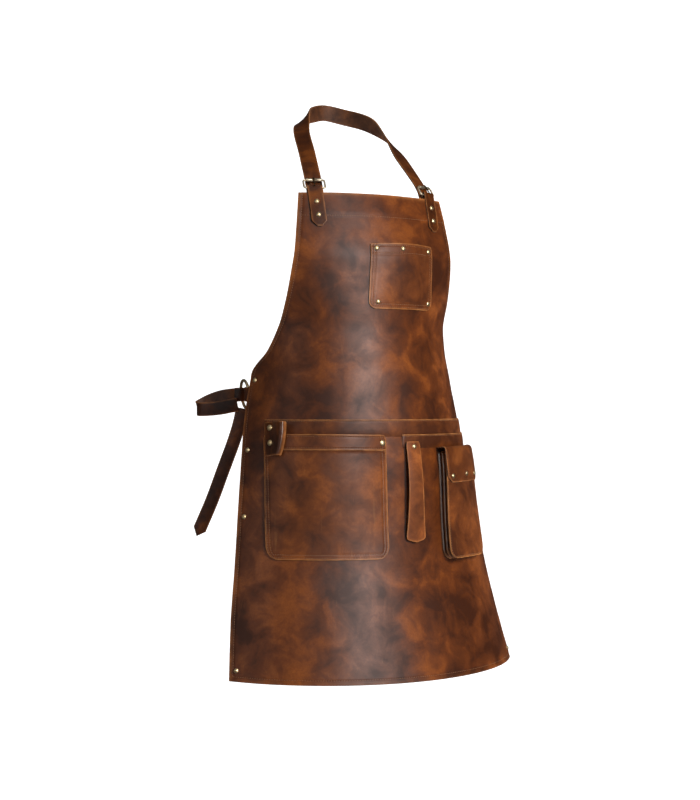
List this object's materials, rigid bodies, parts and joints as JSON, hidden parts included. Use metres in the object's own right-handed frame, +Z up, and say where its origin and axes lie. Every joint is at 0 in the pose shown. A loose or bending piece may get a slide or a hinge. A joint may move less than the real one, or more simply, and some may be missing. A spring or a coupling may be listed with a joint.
{
  "type": "blacksmith apron",
  "caption": "Leather blacksmith apron with a flared skirt, buckled neck strap, chest pocket, large open pocket, flapped cargo pocket, hammer strap, tool loop and riveted side rings",
  "frame": {"origin": "underside of the neck strap where it rests behind the neck", "axes": "+Z up, the front of the apron faces -Y, +X is the viewer's right seen from the front"},
  "size_m": [0.5646, 0.3702, 1.0362],
  "materials": {
    "hide": "pull-up leather, mottled dark and tan brown, satin",
    "trim": "dark brown strap leather, satin, lighter burnished edges",
    "brass": "antique brass, worn bright on its edges"
  },
  "bodies": {
    "root": {"apron_body": "hide", "waist_band": "hide", "tool_rail": "hide", "chest_pocket": "hide", "main_pocket": "hide", "cargo_pocket": "hide", "pocket_flap": "hide", "hammer_strap": "trim", "tool_loop": "trim", "shoulder_tab_left": "trim", "shoulder_tab_right": "trim", "side_tab_left": "trim", "side_tab_right": "trim", "neck_strap": "trim", "side_strap": "trim", "side_strap_tail": "trim", "buckle_frame_left": "brass", "buckle_frame_right": "brass", "buckle_roller_left": "brass", "buckle_roller_right": "brass", "buckle_tongue_left": "brass", "buckle_tongue_right": "brass", "side_ring_left": "brass", "side_ring_right": "brass", "rivet_chest_top_left": "brass", "rivet_chest_top_middle": "brass", "rivet_chest_top_right": "brass", "rivet_chest_low_left": "brass", "rivet_chest_low_right": "brass", "rivet_main_right": "brass", "rivet_loop_top": "brass", "rivet_loop_low": "brass", "rivet_hammer": "brass", "rivet_flap_left": "brass", "rivet_flap_middle": "brass", "rivet_flap_right": "brass", "rivet_tab_left_1": "brass", "rivet_tab_left_2": "brass", "rivet_tab_right_1": "brass", "rivet_tab_right_2": "brass", "rivet_side_left_1": "brass", "rivet_side_left_2": "brass", "rivet_side_left_3": "brass", "rivet_side_left_4": "brass", "rivet_side_right_1": "brass", "rivet_side_right_2": "brass", "rivet_side_right_3": "brass", "rivet_side_right_4": "brass"}
  },
  "joints": []
}
